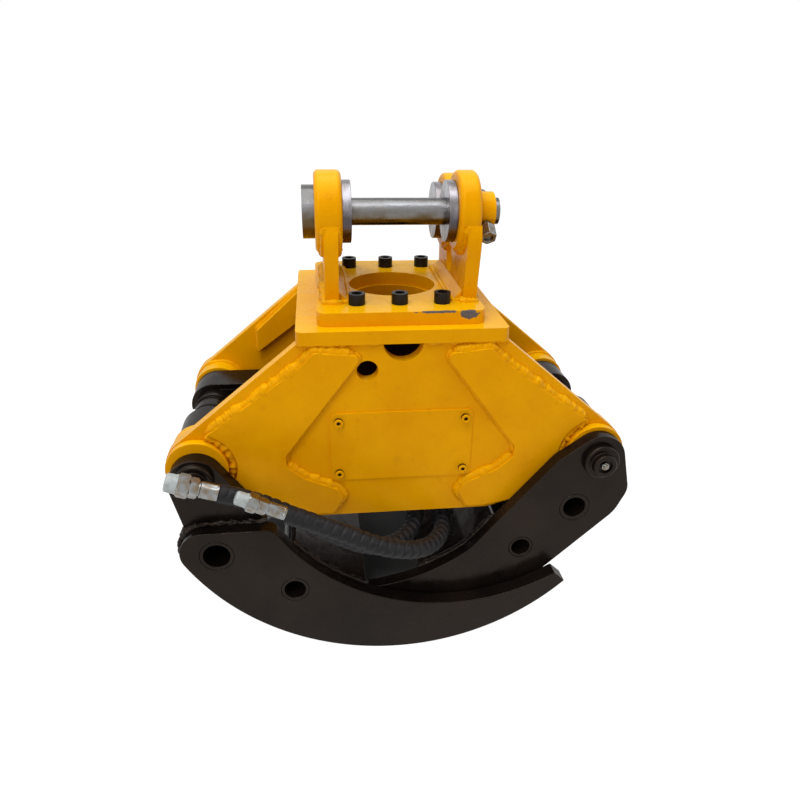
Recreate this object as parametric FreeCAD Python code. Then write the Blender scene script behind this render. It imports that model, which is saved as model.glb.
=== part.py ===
# Timber grapple for a mini excavator, standing closed on its curved tines.
# Millimetres, +Z up, X across the jaws, -Y is the front with the cover plate.
# Origin: on the floor, under the middle of the frame.
import FreeCAD, Part
import math
import os

V = FreeCAD.Vector

# Frame
frame_top_z = 522.0
top_half_x = 150.0
top_half_y = 167.0
top_t = 20.0
top_corner_r = 9.0
body_hole_r = 62.0
side_outer_y = 160.0
side_t = 20.0
arm_r = 46.0
frame_bottom_z = 219.0
bottom_corner_r = 60.0
bottom_corner_x = 130.0
doubler_t = 10.0
doubler_inset = 9.0
doubler_pivot_gap = 11.0
doubler_round_r = 8.0
doubler_foot_x = 103.0
doubler_shoulder = 24.0
# The doubler's edge towards the middle: x, drop under the top plate, rounding
doubler_inner_edge = (
    (57.0, 16.0, 8.0),
    (172.0, 170.0, 10.0),
    (171.0, 188.0, 8.0),
    (146.0, 210.0, 14.0),
    (96.0, 232.0, 10.0),
    (88.0, 246.0, 6.0),
)
notch_r = 28.5
inspection_hole_x = -51.0
inspection_hole_drop = 62.0
inspection_hole_r = 15.5
web_x = 120.0
web_t = 12.0
web_depth = 92.0
rail_t = 18.0
rail_depth = 30.0
rail_inset = 6.0
rail_reach_x = 228.0

# Cover plate on the front
cover_half_x = 106.0
cover_half_z = 56.0
cover_t = 3.0
cover_corner_r = 7.0
cover_drop = 183.0
cover_screw_x = 94.0
cover_screw_z = 43.0
cover_screw_shank_r = 4.0
cover_screw_head_r = 6.5
cover_screw_head_t = 7.0
cover_screw_length = 16.0
cover_socket_af = 6.0
cover_socket_depth = 4.0
cover_screw_clearance = 0.5

# Hitch bracket, bolted on the top plate
bracket_half_x = 120.0
bracket_half_y = 147.0
bracket_t = 20.0
bracket_corner_r = 16.0
bracket_hole_r = 67.5
bolt_pitch_x = 62.0
bolt_row_y = 106.0
bolt_shank_r = 8.0
bolt_head_r = 12.0
bolt_head_h = 16.0
bolt_socket_af = 14.0
bolt_socket_depth = 8.0
bolt_clearance = 0.8
ear_t = 20.0
ear_half_y = 103.0
ear_valley_drop = 34.0
ear_shoulder_r = 61.0
eye_outer_r = 57.0
eye_round_r = 7.0
front_pin_y = -56.0
front_pin_rise = 121.0
rear_pin_y = 50.0
rear_pin_rise = 104.0
foot_strip_size = 15.0
foot_strip_inset = 6.0

# Each ear: X of its middle, how far its eye bosses stand out inward and outward
ear_layout = {-1: (-97.0, 7.0, 11.0), 1: (103.0, 11.0, 0.0)}

# The round hole under an ear's two eyes: Y, height over the bracket, radius
ear_hole = (15.0, 36.0, 21.0)

# Hitch pins and what holds them
hitch_pin_r = 19.0
hitch_pin_fit = 0.1
pin_head_r = 37.0
pin_head_t = 17.0
collar_r = 43.5
collar_t = 13.0
keeper_r = 27.5
keeper_t = 26.0
keeper_tilt_deg = 35.0
pin_tail = 8.0
keeper_bolt_r = 7.0
keeper_bolt_head_r = 10.5
keeper_bolt_head_t = 8.0
keeper_nut_gap = 7.0
keeper_nut_af = 22.0
keeper_nut_t = 20.0
keeper_flat_depth = 1.5
keeper_shank_recess = 4.0
keeper_bolt_clearance = 0.4

# Jaw pivots
pivot_x = 300.0
pivot_z = 317.0
pivot_pin_r = 20.0
bush_wall = 5.0
running_fit = 0.05
pivot_boss_r = 44.0
pivot_boss_t = 30.0
pivot_washer_r = 45.0
washer_play = 0.4
lug_gap_y = 14.0
lug_t = 25.0
tine_pass_gap = 3.0
pin_cap_r = 27.5
pin_cap_t = 11.0
pin_cap_round = 4.0
pin_nose_r = 18.0
pin_nose_t = 11.0
pin_nose_round = 3.0
pin_recess_r = 10.5
pin_recess_t = 6.0
nipple_af = 11.0
nipple_h = 5.0
nipple_tip_r = 3.5
nipple_tip_h = 3.0

# Jaws: both tine sets follow circles round the middle of the closed grapple.
# The left one stands on the floor, with the grapple's weight over its centre.
jaw_centre_x = -5.2
jaw_r = 367.0
tine_t = 25.0
left_inner_x = 78.0
left_inner_z = 395.0
left_inner_r = 312.0
left_root_drop = 76.0
left_root_r = 36.0
left_root_inner_r = 18.0
left_tip_in_x = 241.0
left_tip_out_x = 259.0
right_outer_r = 340.0
right_inner_x = -78.0
right_inner_z = 395.0
right_inner_step = 16.0
right_tip_in_x = -104.0
right_tip_out_x = -120.0
right_bend_x = 107.0
right_bend_r = 90.0
right_belly_x = 240.0
scoop_t = 10.0
left_scoop_from_deg = 39.0
left_scoop_to_deg = 64.4
right_scoop_from_x = 30.0
right_scoop_gap = 9.0
tube_fit = 0.1

# The right tine's corners from its pivot, outward and up, and their rounding
right_crown = (24.7, 66.2, 39.5)
right_shoulder = (-65.0, 2.0, 40.0)
right_cheek = (54.0, -56.0, 32.0)
right_heel = (37.0, -96.0, 60.0)

# The left lug is a belt round its eye and three more discs, from the pivot: inward, up, radius
lug_discs = ((0.0, -9.0, 39.0), (11.0, -114.0, 26.0), (65.0, -112.0, 26.0), (88.0, -78.0, 8.0))

# Cross tubes of the jaws, from each pivot: inward, up, outer radius, bore
left_upper_tube = (23.0, -116.0, 25.0, 19.5)
right_tubes = ((30.0, -84.0, 24.0, 17.5), (110.0, -155.0, 19.0, 14.5))

# The left jaw's lower tube: inward, drop under the tine's inner circle, outer radius, bore
left_lower_tube = (133.0, 71.8, 21.0, 16.0)

# Inner levers and cylinder
lever_reach = 87.0
lever_drop = 23.0
lever_hub_r = 30.0
lever_pin_r = 17.5
lever_end_r = 34.0
lever_elbow_r = 36.0
lever_nose_r = 10.0
lever_plate_t = 20.0
lever_inner_y = 45.0
lever_outer_y = 107.0
lever_strap_t = 10.0
strap_wrap_deg = 100.0
hub_tube_r = 25.5
hub_play = 1.0

# Bands on the hub between the levers: from and to, on both sides of the middle, and radius
hub_bands = ((0.0, 11.0, 30.0), (11.0, 21.0, 27.5), (21.0, 45.0, 31.5))
lever_pin_head_r = 22.5
lever_pin_head_t = 5.0
barrel_r = 38.0
bore_r = 31.5
rod_r = 18.0
eye_r = 28.0
eye_half_y = 44.0
cap_t = 20.0
gland_r = 41.0
gland_length = 35.0
gland_rest_gap = 6.0
gland_spigot = 6.0
piston_t = 24.0
piston_rest_gap = 5.0
rod_neck_r = 22.0
rod_neck_reach = 6.0
rod_spigot_r = 12.0
cap_neck_r = 34.0
ring_groove = 4.0
piston_groove_depth = 3.0
port_pipe_r = 6.0
port_pipe_gap = 1.5
port_riser_r = 8.0
port_drop = 72.0
port_block_half_y = 15.0
port_block_h = 30.0
port_block_margin = 17.0
port_neck_r = 9.0

# Hoses: spiral guard outside, and zinc fittings on their free ends
hose_r = 13.0
sleeve_r = 14.5
sleeve_length = 44.0
rear_hose = (
    (32.0, -66.0, 206.0),
    (34.0, -113.0, 191.0),
    (21.0, -159.0, 185.0),
    (-6.0, -200.0, 189.0),
    (-44.0, -229.0, 204.0),
    (-85.0, -242.0, 229.0),
    (-128.0, -243.0, 256.0),
    (-173.0, -243.0, 285.0),
    (-216.0, -243.0, 307.5),
    (-260.0, -243.0, 321.5),
)
front_hose = (
    (68.0, -66.0, 206.0),
    (70.0, -110.0, 192.0),
    (70.0, -157.0, 188.0),
    (56.0, -200.0, 192.0),
    (30.0, -235.0, 202.0),
    (-3.0, -259.0, 218.0),
    (-45.0, -271.0, 238.0),
    (-88.0, -272.0, 262.0),
    (-130.0, -272.0, 283.0),
    (-170.0, -272.0, 302.0),
)

# Steps of each hose's fitting, outward: form, radius or width across flats, length
rear_fitting = (
    ("round", 12.0, 26.0),
    ("round", 10.0, 2.0),
    ("hexagon", 25.0, 12.0),
    ("hexagon", 29.0, 16.0),
    ("round", 14.0, 17.0),
)
front_fitting = (
    ("round", 9.5, 26.0),
    ("round", 8.5, 2.0),
    ("hexagon", 20.0, 13.0),
    ("hexagon", 23.5, 14.0),
    ("round", 10.5, 17.0),
)

# Worked out from the above
side_inner_y = side_outer_y - side_t
bracket_z = frame_top_z
bracket_top_z = frame_top_z + bracket_t
plate_z = frame_top_z - top_t
lug_y = side_outer_y + lug_gap_y
left_tine_y = lug_y + lug_t
right_tine_t = lug_t - tine_pass_gap
right_face_y = lug_y + right_tine_t
pins = ((front_pin_y, bracket_top_z + front_pin_rise), (rear_pin_y, bracket_top_z + rear_pin_rise))
lever_z = pivot_z - lever_drop
lever_x = pivot_x - lever_reach
cover_z = frame_top_z - cover_drop
right_inner_r = left_inner_r - right_inner_step


def cylinder(axis, at, start, end, r):
    """A cylinder along an axis, with its centre line at the two other coordinates."""
    low, high = min(start, end), max(start, end)
    if axis == "x":
        return Part.makeCylinder(r, high - low, V(low, at[0], at[1]), V(1, 0, 0))
    if axis == "y":
        return Part.makeCylinder(r, high - low, V(at[0], low, at[1]), V(0, 1, 0))
    return Part.makeCylinder(r, high - low, V(at[0], at[1], low), V(0, 0, 1))


def ring(axis, at, start, end, outer, inner):
    return cylinder(axis, at, start, end, outer).cut(cylinder(axis, at, start - 1, end + 1, inner))


def block(x0, x1, y0, y1, z0, z1):
    return Part.makeBox(x1 - x0, y1 - y0, z1 - z0, V(x0, y0, z0))


def hexagon(axis, at, start, end, across_flats):
    """A hexagon prism along Y or Z."""
    r = across_flats / math.sqrt(3)
    corners = []
    for k in range(7):
        a = math.radians(60 * k + 30)
        corners.append((r * math.cos(a), r * math.sin(a)))
    if axis == "y":
        points = [V(at[0] + p, start, at[1] + q) for p, q in corners]
        reach = V(0, end - start, 0)
    else:
        points = [V(at[0] + p, at[1] + q, start) for p, q in corners]
        reach = V(0, 0, end - start)
    return Part.Face(Part.makePolygon(points)).extrude(reach)


def lift(plane, a, b):
    return V(a, 0, b) if plane == "xz" else V(0, a, b)


def arc_edge(plane, centre, r, start, end):
    """The arc about a centre from one angle to another, in radians."""
    spots = []
    for a in (start, (start + end) / 2, end):
        spots.append(lift(plane, centre[0] + r * math.cos(a), centre[1] + r * math.sin(a)))
    return Part.Arc(*spots).toShape()


def belt(plane, discs):
    """The convex outline round discs (a, b, r), named anticlockwise; r may be 0."""
    n = len(discs)
    normals = []
    for i in range(n):
        a, b = discs[i], discs[(i + 1) % n]
        gap = math.hypot(b[0] - a[0], b[1] - a[1])
        heading = math.atan2(b[1] - a[1], b[0] - a[0])
        normals.append(heading - math.acos((a[2] - b[2]) / gap))
    edges = []
    for i in range(n):
        a, b = discs[i], discs[(i + 1) % n]
        before, after = normals[i - 1], normals[i]
        while after < before:
            after += 2 * math.pi
        if a[2] > 0 and after - before > 1e-6:
            edges.append(arc_edge(plane, a[:2], a[2], before, after))
        c, s = math.cos(normals[i]), math.sin(normals[i])
        p = lift(plane, a[0] + a[2] * c, a[1] + a[2] * s)
        q = lift(plane, b[0] + b[2] * c, b[1] + b[2] * s)
        edges.append(Part.LineSegment(p, q).toShape())
    return Part.Face(Part.Wire(edges))


def rounded(plane, corners):
    """A polygon with corners (a, b, r), each rounded by its own radius."""
    n = len(corners)
    ends = []
    for i in range(n):
        p, c, q = corners[i - 1], corners[i], corners[(i + 1) % n]
        here = V(c[0], c[1], 0)
        to_p = (V(p[0], p[1], 0) - here).normalize()
        to_q = (V(q[0], q[1], 0) - here).normalize()
        if c[2] == 0:
            ends.append((here, None, here))
            continue
        half = to_p.getAngle(to_q) / 2
        back = c[2] / math.tan(half)
        middle = here + (to_p + to_q).normalize() * (c[2] / math.sin(half) - c[2])
        ends.append((here + to_p * back, middle, here + to_q * back))
    edges = []
    for i in range(n):
        first, middle, last = ends[i]
        if middle is not None:
            spots = [lift(plane, s.x, s.y) for s in (first, middle, last)]
            edges.append(Part.Arc(*spots).toShape())
        following = ends[(i + 1) % n][0]
        if (following - last).Length > 1e-6:
            p = lift(plane, last.x, last.y)
            q = lift(plane, following.x, following.y)
            edges.append(Part.LineSegment(p, q).toShape())
    return Part.Face(Part.Wire(edges))


def across_y(face, y0, y1):
    """A face in the XZ plane made a plate between two Y values."""
    plate = face.copy()
    plate.translate(V(0, y0, 0))
    return plate.extrude(V(0, y1 - y0, 0))


def across_x(face, x0, x1):
    plate = face.copy()
    plate.translate(V(x0, 0, 0))
    return plate.extrude(V(x1 - x0, 0, 0))


def mirror_y(shape):
    return shape.mirror(V(0, 0, 0), V(0, 1, 0))


def both_y(shape):
    return [shape, mirror_y(shape)]


def round_corners(shape, direction, spots, r):
    """Round the edges that run along a direction through the given spots (a, b)."""
    chosen = []
    for edge in shape.Edges:
        first, last = edge.Vertexes[0].Point, edge.Vertexes[-1].Point
        run = last - first
        if run.Length < 1e-6 or abs(run.normalize().dot(direction)) < 0.999:
            continue
        for a, b in spots:
            where = (first.x, first.z) if direction.y else (first.x, first.y)
            if math.hypot(where[0] - a, where[1] - b) < 0.5:
                chosen.append(edge)
    return shape.makeFillet(r, chosen)


nodes = {}


def keep(name, *shapes):
    """Write a node's solids under one name."""
    solids = []
    for shape in shapes:
        solids.extend(shape.Solids)
    nodes[name] = solids


def side_outline():
    """The frame's side plate: two arms round the pivots and a flat bottom."""
    bottom = frame_bottom_z + bottom_corner_r
    return belt("xz", [
        (-bottom_corner_x, bottom, bottom_corner_r),
        (bottom_corner_x, bottom, bottom_corner_r),
        (pivot_x, pivot_z, arm_r),
        (top_half_x, plate_z, 0.0),
        (-top_half_x, plate_z, 0.0),
        (-pivot_x, pivot_z, arm_r),
    ])


def cover_spots():
    return [(sx * cover_screw_x, cover_z + sz * cover_screw_z) for sx in (-1, 1) for sz in (-1, 1)]


def bolt_spots():
    return [(k * bolt_pitch_x, side * bolt_row_y) for side in (-1, 1) for k in (-1, 0, 1)]


def make_side_plates():
    bush_r = pivot_pin_r + bush_wall
    rear = across_y(side_outline(), side_inner_y, side_outer_y)
    for side in (-1, 1):
        rear = rear.cut(cylinder("y", (side * pivot_x, pivot_z), side_inner_y - 1, side_outer_y + 1, bush_r))
    front = mirror_y(rear)
    y0, y1 = -side_outer_y - 1, -side_inner_y + 1
    front = front.cut(cylinder("y", (0, plate_z), y0, y1, notch_r))
    hole = (inspection_hole_x, frame_top_z - inspection_hole_drop)
    front = front.cut(cylinder("y", hole, y0, y1, inspection_hole_r))
    for spot in cover_spots():
        front = front.cut(cylinder("y", spot, y0, y1, cover_screw_shank_r + tube_fit))
    keep("front_plate", front)
    keep("rear_plate", rear)


def doubler_outline(side):
    """A doubler covers one arm and leaves the middle and the pivot bare."""
    low = frame_bottom_z + doubler_inset
    high = plate_z - doubler_inset
    corners = [(side * x, plate_z - drop, r) for x, drop, r in doubler_inner_edge]
    corners += [
        (side * doubler_foot_x, low, doubler_round_r),
        (side * bottom_corner_x, low, bottom_corner_r - doubler_inset),
        (side * pivot_x, pivot_z - arm_r - doubler_inset, 0),
        (side * pivot_x, pivot_z + arm_r - doubler_inset / 2, 0),
        (side * top_half_x, high - doubler_shoulder, doubler_round_r),
        (side * (top_half_x - doubler_shoulder), high, doubler_round_r),
    ]
    return rounded("xz", corners)


def make_doublers():
    y0, y1 = side_outer_y, side_outer_y + doubler_t
    allowed = across_y(side_outline(), y0, y1)
    cut_r = arm_r + doubler_pivot_gap
    for word, side in (("left", -1), ("right", 1)):
        plate = across_y(doubler_outline(side), y0, y1).common(allowed)
        plate = plate.cut(cylinder("y", (side * pivot_x, pivot_z), y0 - 1, y1 + 1, cut_r))
        keep("rear_doubler_" + word, plate)
        keep("front_doubler_" + word, mirror_y(plate))


def make_rails():
    """Strips inside the arms' upper edges, next to the top plate."""
    strips = []
    for side in (-1, 1):
        run_x = pivot_x - top_half_x
        slope = (plate_z - pivot_z - arm_r) / run_x
        low = plate_z - slope * (rail_reach_x - top_half_x)
        drop = rail_depth / math.cos(math.atan(slope))
        outline = rounded("xz", [
            (side * top_half_x, plate_z - rail_inset, 0),
            (side * rail_reach_x, low - rail_inset, 0),
            (side * rail_reach_x, low - rail_inset - drop, 0),
            (side * (web_x + web_t), plate_z - rail_inset - drop, 0),
            (side * (web_x + web_t), plate_z - rail_inset, 0),
        ])
        strips.extend(both_y(across_y(outline, side_inner_y - rail_t, side_inner_y)))
    keep("arm_rails", *strips)


def make_webs():
    """Cross webs that join the side plates under the top plate."""
    webs = []
    for side in (-1, 1):
        x0 = side * web_x if side > 0 else -web_x - web_t
        webs.append(block(x0, x0 + web_t, -side_inner_y, side_inner_y, plate_z - web_depth, plate_z))
    keep("cross_webs", *webs)


def make_top_plate():
    plate = block(-top_half_x, top_half_x, -top_half_y, top_half_y, plate_z, frame_top_z)
    corners = [(sx * top_half_x, sy * top_half_y) for sx in (-1, 1) for sy in (-1, 1)]
    plate = round_corners(plate, V(0, 0, 1), corners, top_corner_r)
    plate = plate.cut(cylinder("z", (0, 0), plate_z - 1, frame_top_z + 1, body_hole_r))
    for spot in bolt_spots():
        plate = plate.cut(cylinder("z", spot, plate_z - 1, frame_top_z + 1, bolt_shank_r + tube_fit))
    keep("top_plate", plate)


def make_cover():
    face_y = -side_outer_y
    outline = [(sx * cover_half_x, cover_z + sz * cover_half_z, cover_corner_r)
               for sx, sz in ((-1, -1), (1, -1), (1, 1), (-1, 1))]
    plate = across_y(rounded("xz", outline), face_y - cover_t, face_y)
    screws = []
    for spot in cover_spots():
        seat = face_y - cover_t
        plate = plate.cut(cylinder("y", spot, seat - 1, face_y + 1, cover_screw_shank_r + cover_screw_clearance))
        screw = cylinder("y", spot, seat - cover_screw_head_t, seat, cover_screw_head_r)
        screw = screw.fuse(cylinder("y", spot, seat, seat + cover_screw_length, cover_screw_shank_r))
        socket_end = seat - cover_screw_head_t
        screw = screw.cut(hexagon("y", spot, socket_end - 1, socket_end + cover_socket_depth, cover_socket_af))
        screws.append(screw)
    keep("cover_plate", plate)
    keep("cover_screws", *screws)


def make_bracket_base():
    plate = block(-bracket_half_x, bracket_half_x, -bracket_half_y, bracket_half_y, bracket_z, bracket_top_z)
    corners = [(sx * bracket_half_x, sy * bracket_half_y) for sx in (-1, 1) for sy in (-1, 1)]
    plate = round_corners(plate, V(0, 0, 1), corners, bracket_corner_r)
    plate = plate.cut(cylinder("z", (0, 0), bracket_z - 1, bracket_top_z + 1, bracket_hole_r))
    screws = []
    for spot in bolt_spots():
        plate = plate.cut(cylinder("z", spot, bracket_z - 1, bracket_top_z + 1, bolt_shank_r + bolt_clearance))
        head_top = bracket_top_z + bolt_head_h
        screw = cylinder("z", spot, bracket_top_z, head_top, bolt_head_r)
        screw = screw.fuse(cylinder("z", spot, plate_z, bracket_top_z, bolt_shank_r))
        screw = screw.cut(hexagon("z", spot, head_top - bolt_socket_depth, head_top + 1, bolt_socket_af))
        screws.append(screw)
    keep("bracket_base", plate)
    keep("bracket_screws", *screws)


def ear_faces(side):
    """X of an ear plate's two faces, and of its eye bosses' two faces, from low to high."""
    middle, inward, outward = ear_layout[side]
    near, far = middle - side * ear_t / 2, middle + side * ear_t / 2
    return sorted((near, far)), sorted((near - side * inward, far + side * outward))


def ear_boss_faces(side):
    """X of the eye bosses' inner face and outer face."""
    low, high = ear_faces(side)[1]
    return (low, high) if side > 0 else (high, low)


def make_ears():
    """Two upright ears, with a thick boss let in for each of their two eyes."""
    front, rear = pins
    profile = belt("yz", [
        (-ear_half_y, bracket_top_z, 0.0),
        (ear_half_y, bracket_top_z, 0.0),
        (rear[0], rear[1] - ear_valley_drop, ear_shoulder_r),
        (front[0], front[1] - ear_valley_drop, ear_shoulder_r),
    ])
    hole_at = (ear_hole[0], bracket_top_z + ear_hole[1])

    # The two bosses of an ear meet on the plane halfway between the pins.
    middle = V(0, (front[0] + rear[0]) / 2, (front[1] + rear[1]) / 2)
    toward = V(0, front[0] - rear[0], front[1] - rear[1]).normalize()
    reach = 4 * eye_outer_r
    front_half = Part.makeBox(2 * reach, 2 * reach, reach, V(-reach, -reach, 0))
    front_half.Placement = FreeCAD.Placement(middle, FreeCAD.Rotation(V(0, 0, 1), toward))
    bosses = []
    strips = []
    for word, side in (("left", -1), ("right", 1)):
        (x0, x1), (b0, b1) = ear_faces(side)
        plate = across_x(profile, x0, x1).cut(cylinder("x", hole_at, x0 - 1, x1 + 1, ear_hole[2]))
        for pin in pins:
            plate = plate.cut(cylinder("x", pin, x0 - 1, x1 + 1, eye_outer_r))
            boss = cylinder("x", pin, b0, b1, eye_outer_r)
            boss = boss.makeFillet(eye_round_r, [e for e in boss.Edges if len(e.Vertexes) == 1])
            boss = boss.cut(cylinder("x", pin, b0 - 1, b1 + 1, hitch_pin_r + hitch_pin_fit))
            bosses.append(boss.common(front_half) if pin is front else boss.cut(front_half))
        keep("ear_" + word, max(plate.Solids, key=lambda solid: solid.Volume))
        foot_x = x0 if side > 0 else x1
        y0, y1 = -ear_half_y + foot_strip_inset, ear_half_y - foot_strip_inset
        outline = Part.Face(Part.makePolygon([
            V(foot_x, y0, bracket_top_z),
            V(foot_x - side * foot_strip_size, y0, bracket_top_z),
            V(foot_x, y0, bracket_top_z + foot_strip_size),
            V(foot_x, y0, bracket_top_z),
        ]))
        strips.append(outline.extrude(V(0, y1 - y0, 0)))
    keep("eye_bosses", *bosses)
    keep("ear_foot_strips", *strips)


def make_hitch_pins():
    """Pins with a round head on the left and a keeper boss and bolt on the right."""
    left_inner_x, left_outer_x = ear_boss_faces(-1)
    right_inner_x, right_outer_x = ear_boss_faces(1)
    collars = []
    keepers = []
    bolts = []
    nuts = []
    tilt = math.radians(keeper_tilt_deg)
    along = V(0, -math.cos(tilt), -math.sin(tilt))
    flat = keeper_r - keeper_flat_depth
    for word, pin in zip(("front", "rear"), pins):
        centre = V(right_outer_x + keeper_t / 2, pin[0], pin[1])
        hole_r = keeper_bolt_r + keeper_bolt_clearance
        hole = Part.makeCylinder(hole_r, 2 * keeper_r, centre - along * keeper_r, along)
        shaft = cylinder("x", pin, left_outer_x, right_outer_x + keeper_t + pin_tail, hitch_pin_r)
        head = cylinder("x", pin, left_outer_x - pin_head_t, left_outer_x, pin_head_r)
        keep("hitch_pin_" + word, shaft.fuse(head).cut(hole))
        keeper = ring("x", pin, right_outer_x, right_outer_x + keeper_t, keeper_r,
                      hitch_pin_r + hitch_pin_fit)
        for sign in (-1, 1):
            pad = Part.makeCylinder(keeper_r, keeper_r, centre + along * (sign * flat), along * sign)
            keeper = keeper.cut(pad)
        keepers.append(keeper.cut(hole))
        shank_length = 2 * flat + keeper_nut_gap + keeper_nut_t - keeper_shank_recess
        bolt = Part.makeCylinder(keeper_bolt_r, shank_length, centre - along * flat, along)
        head_start = centre - along * flat
        bolt_head = Part.makeCylinder(keeper_bolt_head_r, keeper_bolt_head_t, head_start, along * -1)
        bolts.append(bolt.fuse(bolt_head))
        nut = hexagon("z", (0, 0), 0, keeper_nut_t, keeper_nut_af)
        nut = nut.cut(cylinder("z", (0, 0), -1, keeper_nut_t + 1, keeper_bolt_r + running_fit))
        nut_start = centre + along * (flat + keeper_nut_gap)
        nut.Placement = FreeCAD.Placement(nut_start, FreeCAD.Rotation(V(0, 0, 1), along))
        nuts.append(nut)
        for start in (left_inner_x, right_inner_x - collar_t):
            collars.append(ring("x", pin, start, start + collar_t, collar_r, hitch_pin_r + hitch_pin_fit))
    keep("pin_collars", *collars)
    keep("keeper_bosses", *keepers)
    keep("keeper_bolts_and_nuts", *bolts, *nuts)


def make_pivot_seats():
    """Bosses inside the side plates, bushes through both, and washers outside."""
    bush_r = pivot_pin_r + bush_wall
    boss_y = side_inner_y - pivot_boss_t
    bosses = []
    bushes = []
    washers = []
    for side in (-1, 1):
        at = (side * pivot_x, pivot_z)
        bosses.extend(both_y(ring("y", at, boss_y, side_inner_y, pivot_boss_r, bush_r)))
        bushes.extend(both_y(ring("y", at, boss_y, side_outer_y, bush_r, pivot_pin_r + running_fit)))
        end_y = lug_y - washer_play
        washers.extend(both_y(ring("y", at, side_outer_y, end_y, pivot_washer_r, pivot_pin_r + washer_play)))
    keep("pivot_bosses", *bosses)
    keep("pivot_bushes", *bushes)
    keep("thrust_washers", *washers)


def tube_spots(side):
    """Centre (X, Z), outer radius and bore of a jaw's cross tubes, the upper one first."""
    if side > 0:
        return [(pivot_x - inward, pivot_z + up, r, bore) for inward, up, r, bore in right_tubes]
    inward, up, r, bore = left_upper_tube
    spots = [(inward - pivot_x, pivot_z + up, r, bore)]
    inward, drop, r, bore = left_lower_tube
    x = inward - pivot_x
    spots.append((x, circle_z(left_inner_x, left_inner_z, left_inner_r, x) - drop, r, bore))
    return spots


def pierce(plate, side, y0, y1):
    """Cut the cross tubes' and the pivot pin's holes through a plate."""
    for x, z, outer, _bore in tube_spots(side):
        plate = plate.cut(cylinder("y", (x, z), y0 - 1, y1 + 1, outer + tube_fit))
    return plate.cut(cylinder("y", (side * pivot_x, pivot_z), y0 - 1, y1 + 1, pivot_pin_r + tube_fit))


def circle_z(x0, z0, r, x):
    """The height of a circle's lower half at x."""
    return z0 - math.sqrt(r * r - (x - x0) ** 2)


def on_circle(x0, z0, r, deg):
    """The point of a circle some degrees under the horizontal, towards -X."""
    turn = math.radians(deg)
    return x0 - r * math.cos(turn), z0 - r * math.sin(turn)


def circle_x(x0, z0, r, z, side):
    return x0 + side * math.sqrt(r * r - (z - z0) ** 2)


def arc_through(x0, z0, r, p, q):
    """The lower arc of a circle from one point on it to another."""
    mid_x = (p[0] + q[0]) / 2
    away = math.hypot(mid_x - x0, (p[1] + q[1]) / 2 - z0)
    mid_z = (p[1] + q[1]) / 2
    m = (x0 + (mid_x - x0) * r / away, z0 + (mid_z - z0) * r / away)
    return Part.Arc(lift("xz", *p), lift("xz", *m), lift("xz", *q)).toShape()


def line(p, q):
    return Part.LineSegment(lift("xz", *p), lift("xz", *q)).toShape()


def make_left_jaw():
    root_z = pivot_z - left_root_drop
    inner = (left_inner_x, left_inner_z, left_inner_r)
    outer = (jaw_centre_x, jaw_r, jaw_r)
    tip_in = (left_tip_in_x, circle_z(*inner, left_tip_in_x))
    tip_out = (left_tip_out_x, circle_z(*outer, left_tip_out_x))
    root_out = (circle_x(*outer, root_z, -1), root_z)
    root_in = (circle_x(*inner, root_z, -1), root_z)
    wire = Part.Wire([
        line(tip_in, tip_out),
        arc_through(*outer, tip_out, root_out),
        line(root_out, root_in),
        arc_through(*inner, root_in, tip_in),
    ])
    y0, y1 = left_tine_y, left_tine_y + tine_t
    tine = across_y(Part.Face(wire), y0, y1)
    tine = round_corners(tine, V(0, 1, 0), [root_out], left_root_r)
    tine = round_corners(tine, V(0, 1, 0), [root_in], left_root_inner_r)
    for x, z, r, _bore in tube_spots(-1):
        tine = tine.cut(cylinder("y", (x, z), y0 - 1, y1 + 1, r + tube_fit))
    keep("left_tine_rear", tine)
    keep("left_tine_front", mirror_y(tine))

    lug = belt("xz", [(inward - pivot_x, pivot_z + up, r) for inward, up, r in lug_discs])
    lug = pierce(across_y(lug, lug_y, left_tine_y), -1, lug_y, left_tine_y)
    keep("left_lugs", *both_y(lug))

    tubes = []
    for x, z, r, bore in tube_spots(-1):
        tubes.append(ring("y", (x, z), -left_tine_y - tine_t, left_tine_y + tine_t, r, bore))
    keep("left_cross_tubes", *tubes)

    back = (left_inner_x, left_inner_z, left_inner_r + scoop_t)
    a, d = [on_circle(*inner, deg) for deg in (left_scoop_from_deg, left_scoop_to_deg)]
    b, c = [on_circle(*back, deg) for deg in (left_scoop_from_deg, left_scoop_to_deg)]
    sector = Part.Face(Part.Wire([
        arc_through(*inner, a, d), line(d, c), arc_through(*back, c, b), line(b, a),
    ]))
    keep("left_scoop", across_y(sector, -left_tine_y, left_tine_y))


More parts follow.
